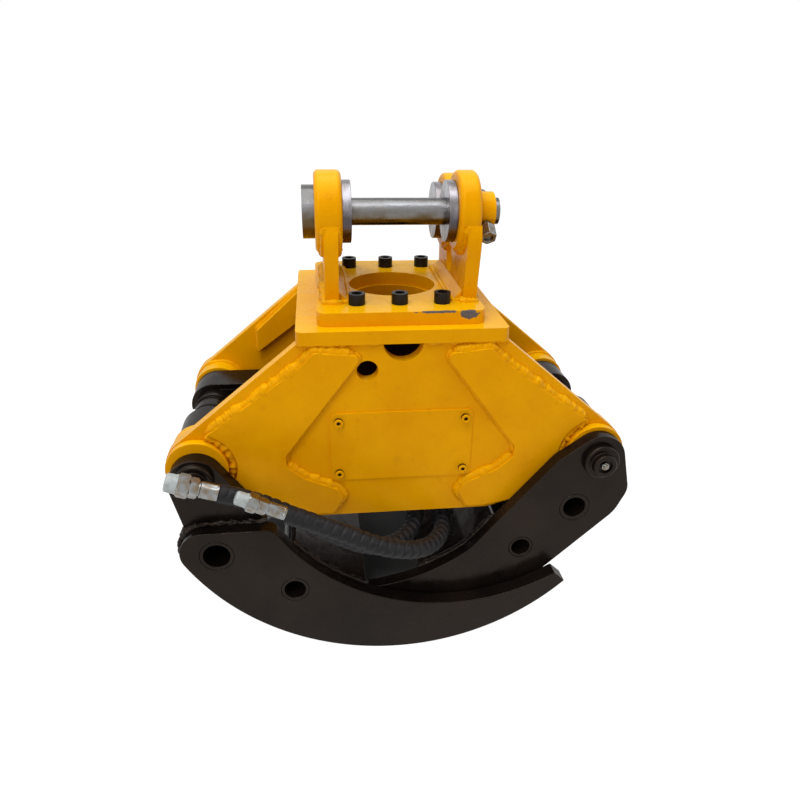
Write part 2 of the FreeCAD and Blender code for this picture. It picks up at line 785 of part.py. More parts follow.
def make_right_jaw():
    inner = (right_inner_x, right_inner_z, right_inner_r)
    outer = (0.0, jaw_r, right_outer_r)
    tip_in = (right_tip_in_x, circle_z(*inner, right_tip_in_x))
    tip_out = (right_tip_out_x, circle_z(*outer, right_tip_out_x))
    bend = (right_bend_x, circle_z(*inner, right_bend_x))
    belly = (right_belly_x, circle_z(*outer, right_belly_x))
    marks = (right_crown, right_shoulder, right_cheek, right_heel)
    crown, shoulder, cheek, heel = [(pivot_x + m[0], pivot_z + m[1]) for m in marks]
    y0, y1 = lug_y, right_face_y
    outline = Part.Wire([
        arc_through(*inner, bend, tip_in),
        line(tip_in, tip_out),
        arc_through(*outer, tip_out, belly),
        line(belly, heel),
        line(heel, cheek),
        line(cheek, crown),
        line(crown, shoulder),
        line(shoulder, bend),
    ])
    tine = across_y(Part.Face(outline), y0, y1)
    roundings = [
        (crown, right_crown[2]),
        (shoulder, right_shoulder[2]),
        (cheek, right_cheek[2]),
        (heel, right_heel[2]),
        (bend, right_bend_r),
    ]
    for spot, r in roundings:
        tine = round_corners(tine, V(0, 1, 0), [spot], r)
    tine = pierce(tine, 1, y0, y1)
    keep("right_tine_rear", tine)
    keep("right_tine_front", mirror_y(tine))

    tubes = []
    for x, z, r, bore in tube_spots(1):
        tubes.append(ring("y", (x, z), -right_face_y, right_face_y, r, bore))
    keep("right_cross_tubes", *tubes)

    back = (right_inner_x, right_inner_z, right_inner_r + scoop_t)
    start = (right_scoop_from_x, circle_z(*inner, right_scoop_from_x))
    scale = back[2] / right_inner_r
    start_back = (right_inner_x + (start[0] - right_inner_x) * scale,
                  right_inner_z + (start[1] - right_inner_z) * scale)
    dx, dz = shoulder[0] - bend[0], shoulder[1] - bend[1]
    run = math.hypot(dx, dz)
    ux, uz = dx / run, dz / run
    top_z = frame_bottom_z - right_scoop_gap
    rise = (top_z - bend[1]) / uz
    top = (bend[0] + ux * rise, top_z)
    top_back = (top[0] + uz * scoop_t, top[1] - ux * scoop_t)
    # The back line meets the back arc near the bend.
    px, pz = bend[0] + uz * scoop_t - back[0], bend[1] - ux * scoop_t - back[1]
    along = px * ux + pz * uz
    half_chord = math.sqrt(along * along - px * px - pz * pz + back[2] ** 2)
    t = math.copysign(half_chord, along) - along
    bend_back = (back[0] + px + ux * t, back[1] + pz + uz * t)
    sector = Part.Face(Part.Wire([
        arc_through(*inner, start, bend), line(bend, top), line(top, top_back),
        line(top_back, bend_back), arc_through(*back, bend_back, start_back), line(start_back, start),
    ]))
    keep("right_scoop", across_y(sector, -lug_y, lug_y))


def strap_outline(side):
    """A bent strip that lies on the lever's top and wraps round its hub."""
    px, lx = side * pivot_x, side * lever_x
    inner, outer = lever_hub_r, lever_hub_r + lever_strap_t
    up = math.pi / 2
    last = up - side * math.radians(strap_wrap_deg)
    low_top, high_top = (px, pivot_z + inner), (px, pivot_z + outer)
    ends = [(px + r * math.cos(last), pivot_z + r * math.sin(last)) for r in (inner, outer)]
    return Part.Face(Part.Wire([
        line((lx, pivot_z + inner), low_top),
        arc_edge("xz", (px, pivot_z), inner, up, last),
        line(ends[0], ends[1]),
        arc_edge("xz", (px, pivot_z), outer, last, up),
        line(high_top, (lx, pivot_z + outer)),
        line((lx, pivot_z + outer), (lx, pivot_z + inner)),
    ]))


def make_levers():
    """Welded lever boxes on each pivot: cheeks, top straps and hub tubes."""
    for word, side in (("left", -1), ("right", 1)):
        px, lx = side * pivot_x, side * lever_x
        tube = tube_spots(side)[0]
        top = pivot_z + lever_hub_r
        order = [
            (px, pivot_z, lever_hub_r),
            (tube[0], tube[1], lever_elbow_r),
            (lx, lever_z, lever_end_r),
            (lx, top - lever_nose_r, lever_nose_r),
        ]
        if side > 0:
            order.reverse()
        profile = belt("xz", order)
        cheeks = []
        straps = []
        for y0 in (lever_inner_y, lever_outer_y - lever_plate_t):
            y1 = y0 + lever_plate_t
            cheek = across_y(profile, y0, y1)
            cheek = cheek.cut(cylinder("y", (px, pivot_z), y0 - 1, y1 + 1, hub_tube_r + tube_fit))
            cheek = cheek.cut(cylinder("y", (lx, lever_z), y0 - 1, y1 + 1, lever_pin_r + tube_fit))
            cheek = cheek.cut(cylinder("y", tube[:2], y0 - 1, y1 + 1, tube[2] + tube_fit))
            cheeks.extend(both_y(cheek))
        straps.extend(both_y(across_y(strap_outline(side), lever_inner_y, lever_outer_y)))
        hub_end = side_inner_y - pivot_boss_t - hub_play
        hub = ring("y", (px, pivot_z), -hub_end, hub_end, hub_tube_r, pivot_pin_r + tube_fit)
        for near, far, r in hub_bands:
            for y0, y1 in ((near, far), (-far, -near)):
                hub = hub.fuse(ring("y", (px, pivot_z), y0, y1, r, pivot_pin_r + tube_fit))
        keep(word + "_lever_cheeks", *cheeks)
        keep(word + "_lever_straps", *straps)
        keep(word + "_hub", hub.removeSplitter())


def rounded_disc(at, start, end, r, rounding):
    """A disc along Y whose rim at its higher end is rounded."""
    disc = cylinder("y", at, start, end, r)
    rims = [e for e in disc.Edges if len(e.Vertexes) == 1 and e.Vertexes[0].Y > end - 0.1]
    return disc.makeFillet(rounding, rims)


def make_pivot_pins():
    for word, side in (("left", -1), ("right", 1)):
        at = (side * pivot_x, pivot_z)
        face = left_tine_y if side < 0 else right_face_y
        keep(word + "_pivot_pin", cylinder("y", at, -face, face, pivot_pin_r))
        cap = rounded_disc(at, face, face + pin_cap_t, pin_cap_r, pin_cap_round)
        nose_end = face + pin_cap_t + pin_nose_t
        cap = cap.fuse(rounded_disc(at, face, nose_end, pin_nose_r, pin_nose_round))
        floor = nose_end - pin_recess_t
        cap = cap.cut(cylinder("y", at, floor, nose_end + 1, pin_recess_r))
        keep(word + "_pin_caps", *both_y(cap))
        nipple = hexagon("y", at, floor, floor + nipple_h, nipple_af)
        nipple = nipple.fuse(cylinder("y", at, floor + nipple_h, floor + nipple_h + nipple_tip_h, nipple_tip_r))
        keep(word + "_grease_nipples", *both_y(nipple))


def make_cylinder():
    """Double-acting cylinder between the levers, drawn in when the jaws are closed."""
    at = (0.0, lever_z)
    cap_x = -lever_x + eye_r
    inside_x = cap_x + cap_t
    gland_end_x = lever_x - eye_r - rod_neck_reach - gland_rest_gap
    gland_x = gland_end_x - gland_length
    tube = ring("x", at, inside_x, gland_x, barrel_r, bore_r)
    keep("cylinder_tube", tube)

    eye = cylinder("y", (-lever_x, lever_z), -eye_half_y, eye_half_y, eye_r)
    cap = cylinder("x", at, -lever_x, inside_x, cap_neck_r)
    cap = cap.common(block(-lever_x, inside_x, -eye_half_y, eye_half_y, lever_z - eye_r, lever_z + eye_r))
    plug = cylinder("x", at, cap_x, inside_x, barrel_r)
    cap = eye.fuse(cap).fuse(plug).removeSplitter()
    cap = cap.cut(cylinder("y", (-lever_x, lever_z), -eye_half_y, eye_half_y, lever_pin_r + running_fit))
    keep("cylinder_cap", cap)

    gland = ring("x", at, gland_x, gland_end_x, gland_r, rod_r + running_fit)
    gland = gland.fuse(ring("x", at, gland_x - gland_spigot, gland_x, bore_r, rod_r + running_fit))
    keep("cylinder_gland", gland)

    piston_x = inside_x + piston_rest_gap
    piston_end = piston_x + piston_t
    piston = ring("x", at, piston_x, piston_end, bore_r - running_fit, rod_spigot_r + running_fit)
    for share in (1 / 3, 2 / 3):
        x = piston_x + share * piston_t
        groove = ring("x", at, x - ring_groove / 2, x + ring_groove / 2, bore_r + 1, bore_r - piston_groove_depth)
        piston = piston.cut(groove)
    keep("piston", piston)

    rod = cylinder("x", at, piston_end, lever_x, rod_r)
    rod = rod.fuse(cylinder("x", at, piston_x, piston_end, rod_spigot_r))
    rod = rod.fuse(cylinder("x", at, lever_x - eye_r - rod_neck_reach, lever_x, rod_neck_r))
    rod = rod.fuse(cylinder("y", (lever_x, lever_z), -eye_half_y, eye_half_y, eye_r)).removeSplitter()
    rod = rod.cut(cylinder("y", (lever_x, lever_z), -eye_half_y, eye_half_y, lever_pin_r + running_fit))
    keep("piston_rod", rod)

    for word, side in (("left", -1), ("right", 1)):
        spot = (side * lever_x, lever_z)
        pin = cylinder("y", spot, -lever_outer_y, lever_outer_y, lever_pin_r)
        for end in (-1, 1):
            y = end * lever_outer_y
            pin = pin.fuse(cylinder("y", spot, y, y + end * lever_pin_head_t, lever_pin_head_r))
        keep(word + "_cylinder_pin", pin)


def make_ports():
    """Port block under the tube, elbows towards the front, pipe to the cap end."""
    low = lever_z - port_drop - port_block_h / 2
    x0 = rear_hose[0][0] - port_block_margin
    x1 = front_hose[0][0] + port_block_margin
    body = block(x0, x1, -port_block_half_y, port_block_half_y, low, lever_z - barrel_r / 2)
    body = body.cut(cylinder("x", (0, lever_z), x0 - 1, x1 + 1, barrel_r))
    keep("port_block", body)
    ends = []
    for route in (rear_hose, front_hose):
        end = V(*route[0])
        slant = (V(*route[1]) - end).normalize()
        start = end - slant * sleeve_length
        sleeve = Part.makeCylinder(sleeve_r, sleeve_length, start, slant)
        root = start + slant * ((-port_block_half_y - start.y) / slant.y)
        neck = Part.makeCylinder(port_neck_r, (start - root).Length + port_neck_r, root - slant * port_neck_r, slant)
        neck = neck.cut(block(x0, x1, -port_block_half_y, port_block_half_y, 0, frame_top_z))
        ends.append(sleeve.fuse(neck))
    keep("port_sleeves", *ends)
    pipe_z = lever_z - barrel_r - port_pipe_r - port_pipe_gap
    riser_x = -lever_x + eye_r + cap_t / 2
    pipe = cylinder("x", (0, pipe_z), riser_x, x0, port_pipe_r)
    riser = cylinder("z", (riser_x, 0), pipe_z - port_riser_r, lever_z, port_riser_r)
    riser = riser.cut(cylinder("x", (0, lever_z), riser_x - cap_t, riser_x + cap_t, barrel_r))
    keep("transfer_pipe", pipe.fuse(riser))


def cord_path(points):
    """Straight runs joined by tangent arcs; returns the wire and the arcs' radii."""
    spots = [V(*p) for p in points]
    edges = []
    radii = []
    last = spots[0]
    for before, corner, after in zip(spots, spots[1:], spots[2:]):
        into = corner - before
        out = after - corner
        turn = into.getAngle(out)
        back = 0.45 * min(into.Length, out.Length)
        radii.append(back / math.tan(turn / 2))
        a = corner - into.normalize() * back
        b = corner + out.normalize() * back
        chord = (a + b) * 0.5
        toward = chord - corner
        rise = radii[-1] / math.cos(turn / 2) - radii[-1]
        mid = corner + toward.normalize() * rise
        edges.append(Part.LineSegment(last, a).toShape())
        edges.append(Part.Arc(a, mid, b).toShape())
        last = b
    edges.append(Part.LineSegment(last, spots[-1]).toShape())
    return Part.Wire(edges), radii


def make_hoses():
    for word, route in (("rear", rear_hose), ("front", front_hose)):
        wire, radii = cord_path(route)
        start, first = V(*route[0]), V(*route[1])
        section = Part.Wire(Part.makeCircle(hose_r, start, first - start))
        hose = Part.makeSolid(wire.makePipeShell([section], True, True))
        keep(word + "_hose", hose)
        expected = wire.Length * math.pi * hose_r ** 2
        print(word + " hose", "length", round(wire.Length, 1), "volume ratio",
              round(hose.Volume / expected, 4), "radii", [round(r) for r in radii])


def make_hose_fittings():
    """Ferrule, hexagon, nut and plug on each hose's free end."""
    for word, route, fitting in (("rear", rear_hose, rear_fitting), ("front", front_hose, front_fitting)):
        end, before = V(*route[-1]), V(*route[-2])
        along = (end - before).normalize()
        z = 0.0
        steps = []
        for form, size, length in fitting:
            if form == "round":
                steps.append(cylinder("z", (0, 0), z, z + length, size))
            else:
                steps.append(hexagon("z", (0, 0), z, z + length, size))
            z += length
        body = steps[0].multiFuse(steps[1:])
        body.Placement = FreeCAD.Placement(end, FreeCAD.Rotation(V(0, 0, 1), along))
        keep(word + "_hose_fitting", body)


make_top_plate()
make_side_plates()
make_doublers()
make_rails()
make_webs()
make_cover()
make_bracket_base()
make_ears()
make_hitch_pins()
make_pivot_seats()
make_left_jaw()
make_right_jaw()
make_levers()
make_pivot_pins()
make_cylinder()
make_ports()
make_hoses()
make_hose_fittings()

os.makedirs("parts", exist_ok=True)
for name, solids in nodes.items():
    shape = solids[0] if len(solids) == 1 else Part.makeCompound(solids)
    if not shape.isValid():
        print("not valid:", name)
    shape.exportStep(os.path.join("parts", name + ".step"))
print(len(nodes), "nodes")
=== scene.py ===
# Looks of the timber grapple: paint, welds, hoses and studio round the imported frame.
# Metres, +Z up, X across the jaws, -Y is the front with the cover plate.
import bpy
import bmesh
import math
from mathutils import Matrix, Vector, noise


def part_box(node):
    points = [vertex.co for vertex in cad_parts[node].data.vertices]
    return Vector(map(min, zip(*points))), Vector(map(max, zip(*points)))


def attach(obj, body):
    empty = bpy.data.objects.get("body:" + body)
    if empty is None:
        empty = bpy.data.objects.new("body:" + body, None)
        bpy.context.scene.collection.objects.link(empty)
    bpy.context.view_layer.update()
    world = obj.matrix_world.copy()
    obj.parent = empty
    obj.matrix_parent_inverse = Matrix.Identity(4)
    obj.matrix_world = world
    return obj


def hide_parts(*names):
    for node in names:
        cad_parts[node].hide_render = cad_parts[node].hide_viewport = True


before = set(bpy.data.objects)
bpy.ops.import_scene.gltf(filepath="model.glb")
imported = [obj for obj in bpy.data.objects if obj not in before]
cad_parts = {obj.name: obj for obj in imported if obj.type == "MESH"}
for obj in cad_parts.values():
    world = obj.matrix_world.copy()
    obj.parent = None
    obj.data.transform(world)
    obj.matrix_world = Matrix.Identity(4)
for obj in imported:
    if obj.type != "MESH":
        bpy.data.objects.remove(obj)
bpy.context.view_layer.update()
MM = 0.001

# Camera, at the photograph's viewing angle
camera_place = (-0.1174, -1.0502, 0.8379)
camera_turn = (1.1281979, -0.0169979, -0.1188443)
camera_lens_mm = 30.71
camera_sensor_mm = 36.0

# Hoses: the routes of the CAD solids, from the port sleeves to the free ends
rear_route = (
    (0.032, -0.066, 0.206),
    (0.034, -0.113, 0.191),
    (0.021, -0.159, 0.185),
    (-0.006, -0.200, 0.189),
    (-0.044, -0.229, 0.204),
    (-0.085, -0.242, 0.229),
    (-0.128, -0.243, 0.256),
    (-0.173, -0.243, 0.285),
    (-0.216, -0.243, 0.3075),
    (-0.260, -0.243, 0.3215),
)
front_route = (
    (0.068, -0.066, 0.206),
    (0.070, -0.110, 0.192),
    (0.070, -0.157, 0.188),
    (0.056, -0.200, 0.192),
    (0.030, -0.235, 0.202),
    (-0.003, -0.259, 0.218),
    (-0.045, -0.271, 0.238),
    (-0.088, -0.272, 0.262),
    (-0.130, -0.272, 0.283),
    (-0.170, -0.272, 0.302),
)
rear_hose_length = 0.4432
front_hose_length = 0.4139
hose_r = 11.0 * MM
guard_r = 13.5 * MM
guard_pitch = 14.0 * MM
guard_ridge = 2.3 * MM
guard_start = 3.0 * MM
guard_smooth_run = 55.0 * MM
guard_around = 28
guard_step = 1.0 * MM

# Hose fittings, from the hose outward: kind, radius or half across flats in mm, and length
rear_fitting = (
    ("ferrule", 12.0, 26.0),
    ("neck", 10.0, 2.0),
    ("hexagon", 12.5, 12.0),
    ("hexagon", 14.5, 16.0),
    ("cap", 14.0, 17.0),
)
front_fitting = (
    ("ferrule", 9.5, 26.0),
    ("neck", 8.5, 2.0),
    ("hexagon", 10.0, 13.0),
    ("hexagon", 11.75, 14.0),
    ("cap", 10.5, 17.0),
)
fitting_around = 96
hexagon_chamfer = 2.2
crimp_depth = 0.7

# Welds
weld_step = 2.2 * MM
weld_ripple_pitch = 5.5 * MM
same_spot = 0.01 * MM
flat_tolerance = 0.05 * MM
sharp_angle = math.radians(35)

# Edge rounding of the plates and turned pieces, by finish
edge_round = {
    "yellow_paint": 1.6 * MM,
    "black_paint": 1.5 * MM,
    "pin_steel": 0.8 * MM,
    "turned_steel": 0.9 * MM,
    "black_oxide_steel": 0.7 * MM,
    "zinc_steel": 0.7 * MM,
    "bronze": 0.4 * MM,
    "chrome_rod": 0.5 * MM,
    "hose_rubber": 0.5 * MM,
}


def aim(obj, target):
    """Turn an object so that it looks at a point."""
    obj.rotation_euler = (Vector(target) - obj.location).to_track_quat("-Z", "Y").to_euler()


def make_camera():
    data = bpy.data.cameras.new("camera")
    data.sensor_width = camera_sensor_mm
    data.lens = camera_lens_mm
    camera = bpy.data.objects.new("camera", data)
    camera.location = camera_place
    camera.rotation_euler = camera_turn
    bpy.context.scene.collection.objects.link(camera)
    bpy.context.scene.camera = camera


def linear(code):
    """An sRGB hex colour as linear RGBA."""
    values = [int(code[i:i + 2], 16) / 255 for i in (1, 3, 5)]
    return tuple(v / 12.92 if v <= 0.04045 else ((v + 0.055) / 1.055) ** 2.4 for v in values) + (1.0,)


def add(material, kind, inputs=None, **settings):
    """Add a shader node with its settings, values and links."""
    node = material.node_tree.nodes.new("ShaderNode" + kind)
    for name, value in settings.items():
        setattr(node, name, value)
    for key, value in (inputs or {}).items():
        socket = node.inputs[key]
        if isinstance(value, bpy.types.NodeSocket):
            material.node_tree.links.new(value, socket)
        else:
            socket.default_value = value
    return node


def new_material(name):
    """An empty material, its output and its object coordinates."""
    material = bpy.data.materials.new(name)
    material.use_nodes = True
    material.node_tree.nodes.clear()
    place = add(material, "TexCoord").outputs["Object"]
    return material, place


def speckle(material, place, size, detail=3.0, roughness=0.55, stretch=(1, 1, 1)):
    """Noise whose patches are about one size across, in metres."""
    spread = add(material, "Mapping", {"Vector": place, "Scale": stretch})
    node = add(material, "TexNoise", {"Vector": spread.outputs[0], "Scale": 1 / size,
                                      "Detail": detail, "Roughness": roughness})
    return node.outputs["Fac"]


def between(material, fac, low, high, to_low=0.0, to_high=1.0):
    """Map part of a value's range to another range, clamped."""
    node = add(material, "MapRange", {"Value": fac, "From Min": low, "From Max": high,
                                      "To Min": to_low, "To Max": to_high})
    return node.outputs[0]


def blend_colours(material, fac, first, second):
    node = add(material, "Mix", {0: fac, 6: first, 7: second}, data_type="RGBA")
    return node.outputs[2]


def finish_material(material, shader, bump_chain):
    """Join bumps (height, depth in metres) to the shader and the shader to the output."""
    normal = None
    for height, depth in bump_chain:
        inputs = {"Height": height, "Distance": depth, "Strength": 1.0}
        if normal is not None:
            inputs["Normal"] = normal
        normal = add(material, "Bump", inputs).outputs[0]
    if normal is not None:
        material.node_tree.links.new(normal, shader.inputs["Normal"])
    add(material, "OutputMaterial", {"Surface": shader.outputs[0]})
    return material


def chip_mask(material, place):
    """The worn patch and scratch on the bracket's front edge, 1 where the paint is gone."""
    ragged = speckle(material, place, 5 * MM, detail=4.0)
    wobble = between(material, ragged, 0.3, 0.7, -1.0, 1.0)
    masks = []
    for centre, half in chip_shapes:
        local = add(material, "Mapping", {"Vector": place, "Location": centre, "Scale": half},
                    vector_type="TEXTURE")
        away = add(material, "VectorMath", {0: local.outputs[0]}, operation="LENGTH").outputs["Value"]
        rough = add(material, "Math", {0: wobble, 1: 0.35, 2: away}, operation="MULTIPLY_ADD")
        masks.append(between(material, rough.outputs[0], 1.0, 0.94))
    return add(material, "Math", {0: masks[0], 1: masks[1]}, operation="MAXIMUM").outputs[0]


# The chip: centre and half sizes of the grey patch and of the thin scratch beside it
chip_shapes = (
    ((0.094, -0.1475, 0.5372), (0.0135, 0.006, 0.0080)),
    ((0.050, -0.1475, 0.5412), (0.0330, 0.003, 0.0023)),
)


def edge_calmed(material, level):
    """A specular level that fades where a face is seen along its surface."""
    facing = add(material, "LayerWeight", {"Blend": 0.5}).outputs["Facing"]
    return between(material, facing, 0.35, 0.85, level, 0.02)


def painted_belly_shade_mask(material, place):
    """1 on the faces inside the frame, between the side plates and under its open top, where the paint is
    darkened as painted shade.
    """
    spot = add(material, "SeparateXYZ", {0: place}).outputs
    inner_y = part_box("rear_plate")[0].y
    across = add(material, "Math", {0: spot["Y"]}, operation="ABSOLUTE").outputs[0]
    inside = between(material, across, inner_y + 1 * MM, inner_y + 0.5 * MM)
    sideways = add(material, "Math", {0: spot["X"]}, operation="ABSOLUTE").outputs[0]
    middle = between(material, sideways, 0.17, 0.10)
    deep = between(material, spot["Z"], 0.475, 0.43)
    both = add(material, "Math", {0: inside, 1: middle}, operation="MULTIPLY").outputs[0]
    return add(material, "Math", {0: both, 1: deep}, operation="MULTIPLY").outputs[0]


def socket_floor_y():
    """Y a little in front of the cover screws' socket floors."""
    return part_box("cover_screws")[0].y + cover_socket_depth - 1.5 * MM


# Depth of the cover screws' sockets
cover_socket_depth = 4.0 * MM


def yellow_enamel(name, chipped=False, painted_socket_shade_y=None):
    """Thick machine enamel: deep warm yellow, paler and more lemon on upward faces as painted light from above,
    darkened inside the frame's belly as painted shade, glossy, with orange peel.
    """
    material, place = new_material(name)
    clouds = speckle(material, place, 90 * MM)
    tone = blend_colours(material, between(material, clouds, 0.35, 0.65), linear("#eaa200"), linear("#e19600"))
    # Painted light: faces that point up are blended to a paler, more lemon yellow, as if lit from above.
    facing = add(material, "TexCoord").outputs["Normal"]
    upward = add(material, "SeparateXYZ", {0: facing}).outputs["Z"]
    tone = blend_colours(material, between(material, upward, 0.55, 0.95), tone, linear("#efb203"))
    dust = speckle(material, place, 14 * MM, detail=6.0, roughness=0.65)
    tone = blend_colours(material, between(material, dust, 0.60, 0.80, 0.0, 0.40), tone, linear("#b46f06"))
    # Painted shade: the faces inside the frame's belly are darkened to a deep brown.
    tone = blend_colours(material, painted_belly_shade_mask(material, place), tone, linear("#2b1507"))
    # Painted shade: behind the given Y level, down in the cover screws' sockets, the paint is darkened.
    if painted_socket_shade_y is not None:
        deep = add(material, "SeparateXYZ", {0: place}).outputs["Y"]
        tone = blend_colours(material, between(material, deep, painted_socket_shade_y - 0.5 * MM, painted_socket_shade_y), tone,
                             linear("#2a1605"))
    gloss = between(material, speckle(material, place, 30 * MM), 0.3, 0.7, 0.20, 0.34)
    peel = speckle(material, place, 3.5 * MM, detail=1.0)
    waves = speckle(material, place, 22 * MM, detail=2.0)
    bumps = [(peel, 0.07 * MM), (waves, 0.6 * MM)]
    if chipped:
        gone = chip_mask(material, place)
        steel = blend_colours(material, speckle(material, place, 2 * MM), linear("#2f2b2e"), linear("#7d797c"))
        tone = blend_colours(material, gone, tone, steel)
        gloss = add(material, "Mix", {0: gone, 2: gloss, 3: 0.5}).outputs[0]
        bumps.append((between(material, gone, 0.0, 1.0, 1.0, 0.0), 0.4 * MM))
    shader = add(material, "BsdfPrincipled", {"Base Color": tone, "Roughness": gloss, "IOR": 1.5,
                                              "Specular IOR Level": edge_calmed(material, 0.20),
                                              "Specular Tint": linear("#ffd96a")})
    return finish_material(material, shader, bumps)


def black_enamel():
    """Black enamel on flame-cut plate: brownish black, half gloss, with rubbed grey spots."""
    material, place = new_material("black_enamel_on_plate")
    clouds = speckle(material, place, 110 * MM, detail=5.0)
    tone = blend_colours(material, between(material, clouds, 0.35, 0.65), linear("#0a0706"), linear("#1c1511"))
    rub = speckle(material, place, 7 * MM, detail=8.0, roughness=0.7)
    tone = blend_colours(material, between(material, rub, 0.66, 0.76, 0.0, 0.5), tone, linear("#46403c"))
    gloss = between(material, speckle(material, place, 25 * MM, detail=4.0), 0.3, 0.7, 0.14, 0.32)
    scale = speckle(material, place, 2.5 * MM, detail=3.0)
    waves = speckle(material, place, 30 * MM, detail=2.0)
    shader = add(material, "BsdfPrincipled", {"Base Color": tone, "Roughness": gloss, "IOR": 1.5,
                                              "Specular IOR Level": edge_calmed(material, 0.18),
                                              "Specular Tint": linear("#ffe6d2")})
    return finish_material(material, shader, [(scale, 0.10 * MM), (waves, 0.6 * MM)])


def over_pins(material, place):
    """Height over the plane through both hitch pins' centre lines, in metres."""
    spots = []
    for word in ("front", "rear"):
        low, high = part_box("hitch_pin_" + word)
        spots.append((low + high) / 2)
    slope = (spots[1].z - spots[0].z) / (spots[0].y - spots[1].y)
    level = spots[0].z + slope * spots[0].y
    along = add(material, "VectorMath", {0: place, 1: (0.0, slope, 1.0)}, operation="DOT_PRODUCT")
    return add(material, "Math", {0: along.outputs["Value"], 1: level}, operation="SUBTRACT").outputs[0]


def turned_steel():
    """Bright steel faced on a lathe: fine rings and random stains, darker below the pins' centre line as painted
    shade, and brown towards the underside as a painted reflection of the yellow paint below.
    """
    material, place = new_material("turned_bright_steel")
    rings = speckle(material, place, 1.2 * MM, detail=2.0, stretch=(1.0, 0.08, 0.08))
    stain = speckle(material, place, 16 * MM, detail=5.0)
    tone = blend_colours(material, between(material, stain, 0.45, 0.75), linear("#8f8d93"), linear("#685e58"))
    height = over_pins(material, place)
    # Painted shade: darker from 4 mm above the pins' centre plane down, fully dark below 14 mm under it.
    tone = blend_colours(material, between(material, height, 4 * MM, -14 * MM, 0.0, 0.85), tone,
                         linear("#3f393e"))
    # Painted reflection: brown from 16 mm below the pins' centre plane downward, standing in for the yellow
    # paint reflected from below.
    tone = blend_colours(material, between(material, height, -16 * MM, -40 * MM, 0.0, 0.9), tone,
                         linear("#5f4526"))
    gloss = between(material, rings, 0.3, 0.7, 0.22, 0.38)
    shader = add(material, "BsdfPrincipled", {"Base Color": tone, "Roughness": gloss, "Metallic": 1.0})
    return finish_material(material, shader, [(rings, 0.03 * MM)])


def greased_pin_steel():
    """Ground pin steel under a smeared film of old grease, wrinkled, thicker and browner towards the underside,
    where the brown is partly a painted reflection of the yellow paint below, with a painted dark band along the
    top.
    """
    material, place = new_material("greased_pin_steel")
    film = speckle(material, place, 20 * MM, detail=6.0, roughness=0.6, stretch=(0.6, 1.0, 1.0))
    height = over_pins(material, place)
    # Grease thicker towards the underside; its brown there is partly a painted reflection of the yellow paint
    # below.
    lower = between(material, height, 10 * MM, -12 * MM)
    thick = add(material, "Math", {0: between(material, film, 0.42, 0.68), 1: 0.45, 2: lower},
                operation="MULTIPLY_ADD")
    thick = between(material, thick.outputs[0], 0.0, 1.2)
    tone = blend_colours(material, thick, linear("#8b8d92"), linear("#5a4c34"))
    # Painted reflection: darker grey from 8 mm above the pins' centre plane upward.
    tone = blend_colours(material, between(material, height, 8 * MM, 14 * MM, 0.0, 0.8), tone, linear("#4f4d4a"))
    gloss = between(material, film, 0.35, 0.7, 0.18, 0.40)
    wrinkles = speckle(material, place, 7 * MM, detail=4.0, stretch=(0.5, 1.0, 1.0))
    lathe = speckle(material, place, 1.0 * MM, detail=1.0, stretch=(1.0, 0.05, 0.05))
    shader = add(material, "BsdfPrincipled", {"Base Color": tone, "Roughness": gloss, "Metallic": 1.0})
    return finish_material(material, shader, [(lathe, 0.02 * MM), (wrinkles, 0.35 * MM)])


def black_oxide():
    """Blackened alloy steel screws: near black, oily, softly shining."""
    material, place = new_material("black_oxide_steel_oiled")
    mottle = speckle(material, place, 4 * MM, detail=4.0)
    tone = blend_colours(material, mottle, linear("#0b0908"), linear("#1b1815"))
    gloss = between(material, mottle, 0.3, 0.7, 0.28, 0.45)
    shader = add(material, "BsdfPrincipled", {"Base Color": tone, "Roughness": gloss, "IOR": 1.5,
                                              "Specular IOR Level": 0.2})
    return finish_material(material, shader, [(mottle, 0.03 * MM)])


def zinc_plate():
    """Bright zinc plating on machined fittings: pale grey metal with a faint warm tinge."""
    material, place = new_material("zinc_plated_steel")
    cloud = speckle(material, place, 9 * MM, detail=4.0)
    tone = blend_colours(material, between(material, cloud, 0.4, 0.7), linear("#8b8d8d"), linear("#75654f"))
    gloss = between(material, cloud, 0.3, 0.7, 0.18, 0.34)
    tool = speckle(material, place, 1.0 * MM, detail=1.0)
    shader = add(material, "BsdfPrincipled", {"Base Color": tone, "Roughness": gloss, "Metallic": 1.0})
    return finish_material(material, shader, [(tool, 0.015 * MM)])


def bearing_bronze():
    """Cast bearing bronze: warm brown metal, bored smooth."""
    material, place = new_material("bearing_bronze")
    cloud = speckle(material, place, 12 * MM, detail=4.0)
    tone = blend_colours(material, cloud, linear("#b58246"), linear("#8a5f33"))
    gloss = between(material, cloud, 0.3, 0.7, 0.3, 0.45)
    shader = add(material, "BsdfPrincipled", {"Base Color": tone, "Roughness": gloss, "Metallic": 1.0})
    return finish_material(material, shader, [(cloud, 0.05 * MM)])


def hard_chrome():
    """Ground hard chrome on the rod: mirror bright with faint oil streaks along it."""
    material, place = new_material("hard_chrome_plating")
    oil = speckle(material, place, 10 * MM, detail=3.0, stretch=(0.2, 1.0, 1.0))
    tone = blend_colours(material, oil, linear("#dcdedf"), linear("#b9b8b2"))
    gloss = between(material, oil, 0.3, 0.7, 0.06, 0.16)
    shader = add(material, "BsdfPrincipled", {"Base Color": tone, "Roughness": gloss, "Metallic": 1.0})
    return finish_material(material, shader, [(oil, 0.01 * MM)])


